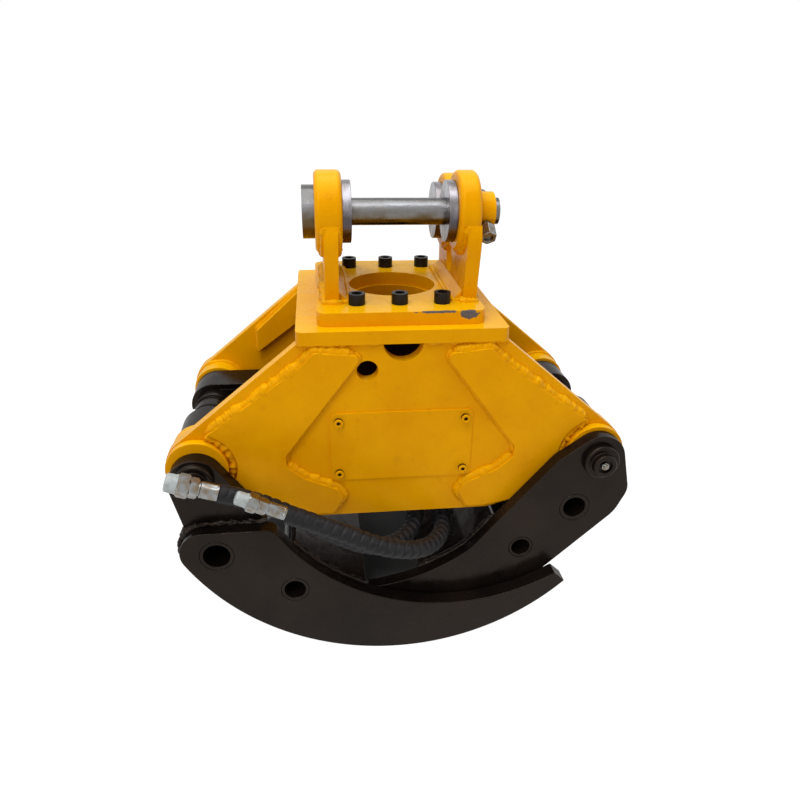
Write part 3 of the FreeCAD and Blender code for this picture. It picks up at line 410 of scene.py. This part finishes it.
def guard_plastic():
    """Spiral guard of soft black polyethylene: charcoal, dull, rubbed paler in small random patches."""
    material, place = new_material("polyethylene_spiral_guard")
    scuff = speckle(material, place, 5 * MM, detail=6.0)
    tone = blend_colours(material, between(material, scuff, 0.4, 0.75), linear("#0e0d0f"), linear("#232123"))
    gloss = between(material, scuff, 0.3, 0.7, 0.42, 0.62)
    shader = add(material, "BsdfPrincipled", {"Base Color": tone, "Roughness": gloss, "IOR": 1.51,
                                              "Specular IOR Level": 0.2})
    return finish_material(material, shader, [(scuff, 0.05 * MM)])


def hose_rubber():
    """Synthetic rubber cover of the hose: matt black with a cloth print."""
    material, place = new_material("hose_cover_rubber")
    cloth = speckle(material, place, 1.2 * MM, detail=2.0)
    tone = blend_colours(material, cloth, linear("#18181a"), linear("#29282a"))
    shader = add(material, "BsdfPrincipled", {"Base Color": tone, "Roughness": 0.62, "IOR": 1.52})
    return finish_material(material, shader, [(cloth, 0.05 * MM)])


def cap_plastic():
    """Transport caps of milky polyethylene: off-white, waxy, a little soiled."""
    material, place = new_material("milky_polyethylene_cap")
    soil = speckle(material, place, 8 * MM, detail=5.0)
    tone = blend_colours(material, between(material, soil, 0.45, 0.75), linear("#a9b0b0"), linear("#8b8d86"))
    gloss = between(material, soil, 0.3, 0.7, 0.30, 0.48)
    shader = add(material, "BsdfPrincipled", {"Base Color": tone, "Roughness": gloss, "IOR": 1.51})
    return finish_material(material, shader, [(soil, 0.06 * MM)])


def set_finishes():
    """Give every CAD node its finish, and round its edges as paint and machining do."""
    made = {
        "yellow_paint": yellow_enamel("yellow_machine_enamel"),
        "black_paint": black_enamel(),
        "pin_steel": greased_pin_steel(),
        "turned_steel": turned_steel(),
        "black_oxide_steel": black_oxide(),
        "zinc_steel": zinc_plate(),
        "bronze": bearing_bronze(),
        "chrome_rod": hard_chrome(),
        "hose_rubber": hose_rubber(),
    }
    smooth = smooth_faces_group()
    for name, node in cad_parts.items():
        slot_name = node.material_slots[0].material.name
        node.material_slots[0].material = made[slot_name]
        if name not in already_round:
            round_edges(node, edge_round[slot_name], smooth)
    # The cover screws get the enamel with painted shade in their sockets.
    sockets = yellow_enamel("yellow_machine_enamel_with_painted_socket_shade", painted_socket_shade_y=socket_floor_y())
    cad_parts["cover_screws"].material_slots[0].material = sockets
    chipped = yellow_enamel("yellow_machine_enamel_chipped", chipped=True)
    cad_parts["bracket_base"].material_slots[0].material = chipped
    return made


# Nodes whose CAD solids already have their rounded rims
already_round = ("eye_bosses", "rear_hose", "front_hose")


def smooth_faces_group():
    """A geometry node group that shades all faces smooth."""
    group = bpy.data.node_groups.new("smooth_faces", "GeometryNodeTree")
    group.interface.new_socket("Geometry", in_out="INPUT", socket_type="NodeSocketGeometry")
    group.interface.new_socket("Geometry", in_out="OUTPUT", socket_type="NodeSocketGeometry")
    start = group.nodes.new("NodeGroupInput")
    shade = group.nodes.new("GeometryNodeSetShadeSmooth")
    end = group.nodes.new("NodeGroupOutput")
    group.links.new(start.outputs[0], shade.inputs[0])
    group.links.new(shade.outputs[0], end.inputs[0])
    return group


def round_edges(node, width, smooth):
    """Merge the node's loose triangles, join flat ones, and round the sharp edges."""
    weld = node.modifiers.new("merge", "WELD")
    weld.merge_threshold = same_spot
    flat = node.modifiers.new("flat_faces", "DECIMATE")
    flat.decimate_type = "DISSOLVE"
    flat.angle_limit = math.radians(0.5)
    bevel = node.modifiers.new("rounded_edges", "BEVEL")
    bevel.width = width
    bevel.segments = 3
    bevel.limit_method = "ANGLE"
    bevel.angle_limit = sharp_angle
    bevel.miter_outer = "MITER_ARC"
    shade = node.modifiers.new("smooth", "NODES")
    shade.node_group = smooth
    normals = node.modifiers.new("normals", "WEIGHTED_NORMAL")
    normals.weight = 50


def spline_line(points):
    """The points of a route's NURBS line."""
    curve = route_curve("route", points)
    carrier = bpy.data.objects.new("route", curve)
    mesh = bpy.data.meshes.new_from_object(carrier)
    line = [v.co.copy() for v in mesh.vertices]
    bpy.data.meshes.remove(mesh)
    bpy.data.objects.remove(carrier)
    bpy.data.curves.remove(curve)
    return line


def route_curve(name, points):
    curve = bpy.data.curves.new(name, "CURVE")
    curve.dimensions = "3D"
    curve.resolution_u = 16
    spline = curve.splines.new("NURBS")
    spline.points.add(len(points) - 1)
    for knot, place in zip(spline.points, points):
        knot.co = (*place, 1.0)
    spline.order_u = 3
    spline.use_endpoint_u = True
    return curve


def spaced(line, step, closed=False):
    """A line again with even spacing, near a wanted step."""
    spots = list(line) + ([line[0]] if closed else [])
    ways = [0.0]
    for a, b in zip(spots, spots[1:]):
        ways.append(ways[-1] + (b - a).length)
    count = max(2, round(ways[-1] / step))
    even = []
    k = 0
    for i in range(count if closed else count + 1):
        way = ways[-1] * i / count
        while k < len(ways) - 2 and ways[k + 1] < way:
            k += 1
        share = (way - ways[k]) / max(ways[k + 1] - ways[k], 1e-9)
        even.append(spots[k].lerp(spots[k + 1], share))
    return even


def tube_mesh(name, lines, radius, around, radius_at=None, closed=False):
    """A mesh tube along each line; radius_at gives its share of the radius from the way along."""
    curve = bpy.data.curves.new(name, "CURVE")
    curve.dimensions = "3D"
    curve.bevel_depth = radius
    curve.bevel_resolution = around // 2 - 2
    curve.use_fill_caps = not closed
    for line in lines:
        spline = curve.splines.new("POLY")
        spline.points.add(len(line) - 1)
        spline.use_cyclic_u = closed
        for k, (knot, place) in enumerate(zip(spline.points, line)):
            knot.co = (*place, 1.0)
            knot.radius = radius_at(k, len(line)) if radius_at else 1.0
    carrier = bpy.data.objects.new(name, curve)
    mesh = bpy.data.meshes.new_from_object(carrier)
    bpy.data.objects.remove(carrier)
    bpy.data.curves.remove(curve)
    mesh.name = name
    for face in mesh.polygons:
        face.use_smooth = True
    return mesh


def place_piece(name, mesh, material, body):
    """Link a finished mesh as a piece that rides on a body."""
    piece = bpy.data.objects.new(name, mesh)
    bpy.context.scene.collection.objects.link(piece)
    mesh.materials.clear()
    mesh.materials.append(material)
    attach(piece, body)
    return piece


def guard_height(phase):
    """The guard's crest over one turn: a flat strip with rounded sides."""
    return 1 - abs(2 * phase - 1) ** 3.5


def make_guard(name, line, material, body):
    """A spiral guard: a tube whose crests follow a helix, nearly smooth by the fitting."""
    stations = spaced(line, guard_step)
    mesh = tube_mesh(name, [stations], guard_r, guard_around)
    around = len(mesh.vertices) // len(stations)
    last = len(stations) - 1
    for i, vertex in enumerate(mesh.vertices):
        k, turn = divmod(i, around)
        if k > last:
            continue
        from_fitting = (last - k) * guard_step
        share = min(1.0, 0.35 + 0.65 * max(0.0, from_fitting - guard_smooth_run / 2) / guard_smooth_run)
        phase = (k * guard_step / guard_pitch + turn / around) % 1.0
        dip = guard_ridge * share * (1 - guard_height(phase))
        outward = (vertex.co - stations[k]).normalized()
        vertex.co -= outward * dip
    return place_piece(name, mesh, material, body)


def half_size(kind, size, way, length, turn):
    """A fitting step's distance from its axis, at a way along it and a turn round it, in mm."""
    end = min(way, length - way)
    if kind == "hexagon":
        flat = size / math.cos((turn + math.pi / 6) % (math.pi / 3) - math.pi / 6)
        return min(flat, size * 1.02 + end * size * 0.14 / hexagon_chamfer)
    if kind == "ferrule":
        crimped = 4.0 < way < length - 5.0
        groove = crimp_depth * (0.5 - 0.5 * math.cos(8 * turn)) if crimped else 0.0
        return size - groove - max(0.0, 1.2 - end) * 0.8
    if kind == "cap":
        left = length - way
        edge = 4.0
        dip = edge - math.sqrt(max(0.0, edge ** 2 - (edge - left) ** 2)) if left < edge else 0.0
        rim = 0.8 if way < 3.0 else 0.0
        return size - 0.8 + rim - dip
    return size


def make_fitting(name, steps, start, direction, kinds, material):
    """The steps of some kinds, turned about a hose end's line."""
    across = direction.cross(Vector((0, 1, 0))).normalized()
    over = direction.cross(across)
    bm = bmesh.new()
    way = 0.0
    for kind, size, length in steps:
        if kind in kinds:
            stations = sorted({0.0, 0.4, 0.8, 1.2, 1.7, hexagon_chamfer, 3.0, 4.0, 5.0, length / 2,
                               length - 5.0, length - 4.0, length - 3.0, length - hexagon_chamfer,
                               length - 1.7, length - 1.2, length - 0.8, length - 0.4, length})
            stations = [s for s in stations if 0.0 <= s <= length]
            before = None
            for s in stations:
                rim = []
                for k in range(fitting_around):
                    turn = 2 * math.pi * k / fitting_around
                    r = half_size(kind, size, s, length, turn) * MM
                    centre = start + direction * ((way + s) * MM)
                    rim.append(bm.verts.new(centre + (across * math.cos(turn) + over * math.sin(turn)) * r))
                if before is None:
                    bm.faces.new(rim)
                else:
                    for k in range(fitting_around):
                        j = (k + 1) % fitting_around
                        bm.faces.new((before[k], before[j], rim[j], rim[k]))
                before = rim
            bm.faces.new(before)
        way += length
    bmesh.ops.recalc_face_normals(bm, faces=bm.faces)
    mesh = bpy.data.meshes.new(name)
    bm.to_mesh(mesh)
    bm.free()
    for face in mesh.polygons:
        face.use_smooth = len(face.vertices) == 4
    mesh.set_sharp_from_angle(angle=sharp_angle / 2)
    return place_piece(name, mesh, material, "cylinder_barrel")


def make_hoses(made):
    guard = guard_plastic()
    cap = cap_plastic()
    for word, route, length, steps in (("rear", rear_route, rear_hose_length, rear_fitting),
                                       ("front", front_route, front_hose_length, front_fitting)):
        curve = route_curve(word + "_hose_line", route)
        curve.bevel_depth = hose_r
        curve.bevel_resolution = 6
        curve.use_fill_caps = True
        curve.materials.append(made["hose_rubber"])
        hose = bpy.data.objects.new(word + "_hose_line", curve)
        bpy.context.scene.collection.objects.link(hose)
        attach(hose, "cylinder_barrel")
        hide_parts(word + "_hose")
        line = spline_line(route)
        wrap = make_guard(word + "_hose_guard", line, guard, "cylinder_barrel")
        end = Vector(route[-1])
        direction = (end - Vector(route[-2])).normalized()
        metal = make_fitting(word + "_hose_end_steel", steps, end, direction,
                             ("ferrule", "neck", "hexagon"), made["zinc_steel"])
        plug = make_fitting(word + "_hose_end_cap", steps, end, direction, ("cap",), cap)
        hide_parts(word + "_hose_fitting")


def rim_lines(node, axis, level, wanted=None):
    """The sharp edges of a node that lie in a plane, chained; each with whether it closes."""
    bm = bmesh.new()
    bm.from_mesh(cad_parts[node].data)
    bmesh.ops.remove_doubles(bm, verts=bm.verts, dist=same_spot)
    after = {}
    for edge in bm.edges:
        a, b = edge.verts
        if any(abs(v.co[axis] - level) > flat_tolerance for v in (a, b)):
            continue
        if edge.calc_face_angle(0.0) < sharp_angle:
            continue
        if wanted and not wanted((a.co + b.co) / 2):
            continue
        after.setdefault(a, []).append(b)
        after.setdefault(b, []).append(a)
    lines = []
    left = set(after)
    starts = [v for v in after if len(after[v]) == 1] + list(after)
    for start in starts:
        if start not in left:
            continue
        chain = [start]
        left.discard(start)
        while True:
            following = [v for v in after[chain[-1]] if v in left]
            if not following:
                break
            chain.append(following[0])
            left.discard(following[0])
        closed = len(chain) > 2 and chain[0] in after[chain[-1]]
        if len(chain) > 1:
            lines.append(([v.co.copy() for v in chain], closed))
    bm.free()
    return lines


def arc_line(axis, centre, radius, start, end):
    """An arc about an axis through a centre, from one angle to another in degrees, as a line."""
    first, second = [k for k in range(3) if k != axis]
    count = max(8, round(abs(end - start) / 4))
    line = []
    for i in range(count + 1):
        turn = math.radians(start + (end - start) * i / count)
        spot = Vector(centre)
        spot[first] += radius * math.cos(turn)
        spot[second] += radius * math.sin(turn)
        line.append(spot)
    return line, False


def full_ring(axis, centre, radius):
    line, _ = arc_line(axis, centre, radius, 0.0, 360.0)
    return line[:-1], True


def make_weld(name, lines, radius, finish, body, lump=0.16, grain=14 * MM):
    """Weld beads under paint: rippled, lumpy tubes sunk in the corner that they fill."""
    meshes = []
    for line, closed in lines:
        even = spaced(line, weld_step, closed)
        if len(even) < 3:
            continue

        def swell(k, count):
            ripple = 0.09 * math.sin(2 * math.pi * k * weld_step / weld_ripple_pitch)
            bulge = lump * noise.noise(even[k] / grain)
            end = 1.0 if closed else min(1.0, 0.55 + 0.15 * min(k, count - 1 - k))
            return (1 + ripple + bulge) * end

        mesh = tube_mesh(name, [even], radius, 16, swell, closed)
        for vertex in mesh.vertices:
            push = noise.noise(vertex.co / (5 * MM)) * lump * 0.55 * radius
            push += noise.noise(vertex.co / (2.2 * MM)) * lump * 0.18 * radius
            vertex.co += vertex.normal * push
        meshes.append(mesh)
    bm = bmesh.new()
    for mesh in meshes:
        bm.from_mesh(mesh)
        bpy.data.meshes.remove(mesh)
    joined = bpy.data.meshes.new(name)
    bm.to_mesh(joined)
    bm.free()
    return place_piece(name, joined, finish, body)


def pivot_centre(side):
    low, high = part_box("left_pivot_pin" if side < 0 else "right_pivot_pin")
    return (low + high) / 2


def doubler_part(side, part):
    """Which part of a doubler's rim an edge belongs to: upper, lower or middle."""
    pivot = pivot_centre(side)
    low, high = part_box("front_doubler_right")
    slope = (high.z - pivot.z) / (abs(pivot.x) - low.x)

    def test(spot):
        if math.hypot(spot.x - pivot.x, spot.z - pivot.z) < doubler_cut_r + 1.5 * MM:
            return False
        over = spot.z - pivot.z - slope * (abs(pivot.x) - abs(spot.x))
        if over > 0:
            return part == "upper"
        foot = spot.z < low.z + doubler_foot_h or (abs(spot.x) > doubler_foot_x and spot.z < pivot.z - 20 * MM)
        if foot and abs(spot.x) > low.x + 30 * MM:
            return part == "lower"
        return part == ("ledge" if spot.z < pivot.z + 4 * MM else "middle")
    return test


# The doublers' round cut at the pivots, and how far up and out their lower edge counts
doubler_cut_r = 57.0 * MM
doubler_foot_h = 12.0 * MM
doubler_foot_x = 0.170


def make_yellow_welds(finish):
    front_y, rear_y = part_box("front_plate")[0].y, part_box("rear_plate")[1].y
    inner_front_y, inner_rear_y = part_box("front_plate")[1].y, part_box("rear_plate")[0].y
    top_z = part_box("front_plate")[1].z
    for end, y in (("front", front_y), ("rear", rear_y)):
        for word, side in (("left", -1), ("right", 1)):
            node = end + "_doubler_" + word
            thick = rim_lines(node, 1, y, doubler_part(side, "upper"))
            make_weld(node + "_upper_weld", thick, 8.6 * MM, finish, "frame", lump=0.42)
            thick = rim_lines(node, 1, y, doubler_part(side, "lower"))
            make_weld(node + "_lower_weld", thick, 6.0 * MM, finish, "frame", lump=0.4)
            ledge = rim_lines(node, 1, y, doubler_part(side, "ledge"))
            make_weld(node + "_ledge_weld", ledge, 7.6 * MM, finish, "frame", lump=0.35)
            thin = rim_lines(node, 1, y, doubler_part(side, "middle"))
            make_weld(node + "_inner_weld", thin, 4.5 * MM, finish, "frame", lump=0.2)
            pivot = pivot_centre(side)
            centre = (pivot.x, y, pivot.z)
            turns = (106.0, 251.0) if side > 0 else (74.0, -71.0)
            crumbs = [arc_line(1, centre, pivot_weld_r, *turns)]
            make_weld(end + "_pivot_weld_" + word, crumbs, 6.6 * MM, finish, "frame",
                      lump=0.9, grain=8 * MM)
        lines = rim_lines(end + "_plate", 2, top_z, lambda p: abs(p.y - y) < flat_tolerance)
        make_weld(end + "_top_weld", lines, 4.8 * MM, finish, "frame", lump=0.6)
    inside = []
    for y in (inner_front_y, inner_rear_y):
        inside += rim_lines("cross_webs", 1, y)
        inside += rim_lines("pivot_bosses", 1, y, within_arm)
        inside += rim_lines("arm_rails", 1, y)
    make_weld("inner_frame_welds", inside, 4.0 * MM, finish, "frame")
    make_ear_welds(finish)


# Radius of the weld round each pivot, on the frame's side plates
pivot_weld_r = 51.0 * MM


def within_arm(spot):
    """Whether a spot round a pivot lies on the side towards the middle."""
    return abs(spot.x) < pivot_centre(1).x + 25 * MM


def make_ear_welds(finish):
    """Welds at the ears' feet and under the eye bosses' rims."""
    base_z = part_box("bracket_base")[1].z
    foot = []
    for word in ("left", "right"):
        foot += rim_lines("ear_" + word, 2, base_z)
    make_weld("ear_base_welds", foot, 7.0 * MM, finish, "frame", lump=0.55)
    strips = rim_lines("ear_foot_strips", 2, base_z)
    make_weld("ear_strip_welds", strips, 3.6 * MM, finish, "frame", lump=0.4)
    rims = []
    for word in ("left", "right"):
        low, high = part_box("ear_" + word)
        for pin, turns in (("front", (-168.0, -24.0)), ("rear", (-156.0, -12.0))):
            centre = sum(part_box("hitch_pin_" + pin), Vector()) / 2
            for x in (low.x, high.x):
                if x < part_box("eye_bosses")[1].x - 1 * MM:
                    rims.append(arc_line(0, (x, centre.y, centre.z), eye_rim_r, *turns))
    make_weld("eye_boss_welds", rims, 5.4 * MM, finish, "frame", lump=0.35)


# Radius of the eye bosses
eye_rim_r = 57.0 * MM


def make_black_welds(finish):
    tine_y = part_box("left_lugs")[1].y
    lines = []
    for end, side in (("front", -1), ("rear", 1)):
        lines += rim_lines("left_tine_" + end, 1, side * tine_y, on_left_lug)
    make_weld("left_tine_welds", lines, 6.2 * MM, finish, "left_jaw", lump=0.7)
    scoop = rim_lines("left_scoop", 1, -tine_y) + rim_lines("left_scoop", 1, tine_y)
    make_weld("left_scoop_welds", scoop, 4.2 * MM, finish, "left_jaw", lump=0.4)
    lug_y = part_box("right_scoop")[1].y
    scoop = rim_lines("right_scoop", 1, -lug_y) + rim_lines("right_scoop", 1, lug_y)
    make_weld("right_scoop_welds", scoop, 4.2 * MM, finish, "right_jaw", lump=0.4)
    for word in ("left", "right"):
        lines = []
        inner_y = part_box("left_lugs" if word == "left" else "right_scoop")[1].y
        if word == "left":
            inner_y -= lug_t
        for y in (-inner_y, inner_y):
            for centre, r in tube_places(word):
                lines.append(full_ring(1, (centre[0], y, centre[1]), r))
        make_weld(word + "_tube_welds", lines, 4.5 * MM, finish, word + "_jaw", lump=0.5)
        lines = []
        for y in lever_faces:
            for sign in (-1, 1):
                lines.append(full_ring(1, (tube_places(word)[0][0][0], sign * y, tube_places(word)[0][0][1]),
                                       tube_places(word)[0][1]))
        make_weld(word + "_lever_welds", lines, 4.0 * MM, finish, word + "_jaw", lump=0.5)
    low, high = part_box("cylinder_tube")
    middle = (low + high) / 2
    joint = [full_ring(0, (low.x, middle.y, middle.z), (high.z - low.z) / 2 - 1 * MM)]
    make_weld("cylinder_cap_weld", joint, 3.4 * MM, finish, "cylinder_barrel", lump=0.25)


# The left lugs' thickness, and Y of the lever cheeks' faces
lug_t = 25.0 * MM
lever_faces = (45.0 * MM, 65.0 * MM, 87.0 * MM, 107.0 * MM)


def tube_places(word):
    """Centre (X, Z) and radius of a jaw's two cross tubes, the upper one first."""
    places = []
    pivot = pivot_centre(-1 if word == "left" else 1)
    inward = 1 if word == "left" else -1
    for along, up, r in tube_offsets[word]:
        places.append(((pivot.x + inward * along, pivot.z + up), r))
    return places


# Cross tubes from their jaw's pivot: inward, up and radius
tube_offsets = {
    "left": ((23 * MM, -116 * MM, 25 * MM), (133 * MM, -187 * MM, 21 * MM)),
    "right": ((30 * MM, -84 * MM, 24 * MM), (110 * MM, -155 * MM, 19 * MM)),
}


def on_left_lug(spot):
    """Whether a spot of the left tine's edge lies over the lug."""
    low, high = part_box("left_lugs")
    return low.x + 8 * MM < spot.x < high.x - 4 * MM and low.z < spot.z < high.z - 60 * MM


def make_lamp(name, place, target, size, power):
    data = bpy.data.lights.new(name, "AREA")
    data.shape = "SQUARE"
    data.size = size
    data.energy = power
    lamp = bpy.data.objects.new(name, data)
    lamp.location = place
    bpy.context.scene.collection.objects.link(lamp)
    aim(lamp, target)


# The floor's own glow where the camera sees it: full beyond one radius, none within another; within that inner
# radius the floor's colour is also darkened, a painted shadow under the object.
floor_glow = 0.96
painted_floor_shadow = 0.35
painted_floor_shadow_r = 0.225
floor_bright_r = 0.33
painted_floor_shadow_centre = (0.04, -0.06, 0.0)
painted_floor_shadow_squash = 1.3


def make_studio():
    """Pale floor with a faint shadow and a painted dark shadow under the object, white surroundings and soft
    lamps.
    """
    middle = (0.0, 0.0, 0.35)
    make_lamp("overhead", (-0.3, -0.2, 2.6), middle, 2.2, 38.0)
    make_lamp("front_fill", (-1.5, -2.4, 1.6), middle, 1.4, 19.0)
    make_lamp("right_fill", (2.2, -0.8, 1.4), middle, 1.2, 8.0)
    make_lamp("sparkle", (-0.5, -1.3, 2.3), middle, 0.22, 8.0)

    world = bpy.data.worlds.new("studio_white")
    bpy.context.scene.world = world
    world.use_nodes = True
    world.node_tree.nodes.clear()
    seen = seen_directly(world)
    strength = add(world, "MapRange", {"Value": seen, "To Min": 0.30, "To Max": 1.0}).outputs[0]
    back = add(world, "Background", {"Color": (1, 1, 1, 1), "Strength": strength})
    add(world, "OutputWorld", {"Surface": back.outputs[0]})

    bm = bmesh.new()
    bmesh.ops.create_grid(bm, x_segments=1, y_segments=1, size=6.0)
    mesh = bpy.data.meshes.new("floor")
    bm.to_mesh(mesh)
    bm.free()
    floor = bpy.data.objects.new("floor", mesh)
    bpy.context.scene.collection.objects.link(floor)
    material, place = new_material("studio_floor_vinyl")
    seen = seen_directly(material)
    grain = speckle(material, place, 80 * MM)
    moved = add(material, "VectorMath", {0: place, 1: painted_floor_shadow_centre}, operation="ADD").outputs[0]
    flat = add(material, "VectorMath", {0: moved, 1: (1.0, painted_floor_shadow_squash, 0.0)}, operation="MULTIPLY")
    away = add(material, "VectorMath", {0: flat.outputs[0]}, operation="LENGTH").outputs["Value"]
    # Painted shadow: within the inner radius the floor's colour is darkened, fading out towards the outer
    # radius.
    near = between(material, away, painted_floor_shadow_r, floor_bright_r, painted_floor_shadow, 1.0)
    shade = add(material, "Math", {0: between(material, seen, 0.0, 1.0, 0.86, 0.24), 1: near},
                operation="MULTIPLY").outputs[0]
    pale = between(material, grain, 0.3, 0.7, 0.97, 1.0)
    level = add(material, "Math", {0: shade, 1: pale}, operation="MULTIPLY").outputs[0]
    tone = add(material, "CombineColor", {0: level, 1: level, 2: level}).outputs[0]
    matt = add(material, "BsdfDiffuse", {"Color": tone})
    clear = between(material, away, painted_floor_shadow_r, floor_bright_r, 0.0, floor_glow)
    strength = add(material, "Math", {0: clear, 1: seen}, operation="MULTIPLY").outputs[0]
    glow = add(material, "Emission", {"Color": (1, 1, 1, 1), "Strength": strength})
    both = add(material, "AddShader", {0: matt.outputs[0], 1: glow.outputs[0]})
    add(material, "OutputMaterial", {"Surface": both.outputs[0]})
    mesh.materials.append(material)


def seen_directly(holder):
    """1 for rays from the camera, off a glossy surface or through a clear one."""
    path = add(holder, "LightPath").outputs
    some = add(holder, "Math", {0: path["Is Camera Ray"], 1: path["Is Glossy Ray"]}, operation="MAXIMUM")
    every = add(holder, "Math", {0: some.outputs[0], 1: path["Is Transmission Ray"]}, operation="MAXIMUM")
    return every.outputs[0]


make_camera()
finishes = set_finishes()
make_hoses(finishes)
make_yellow_welds(finishes["yellow_paint"])
make_black_welds(finishes["black_paint"])
make_studio()
bpy.context.scene.view_settings.view_transform = "Standard"
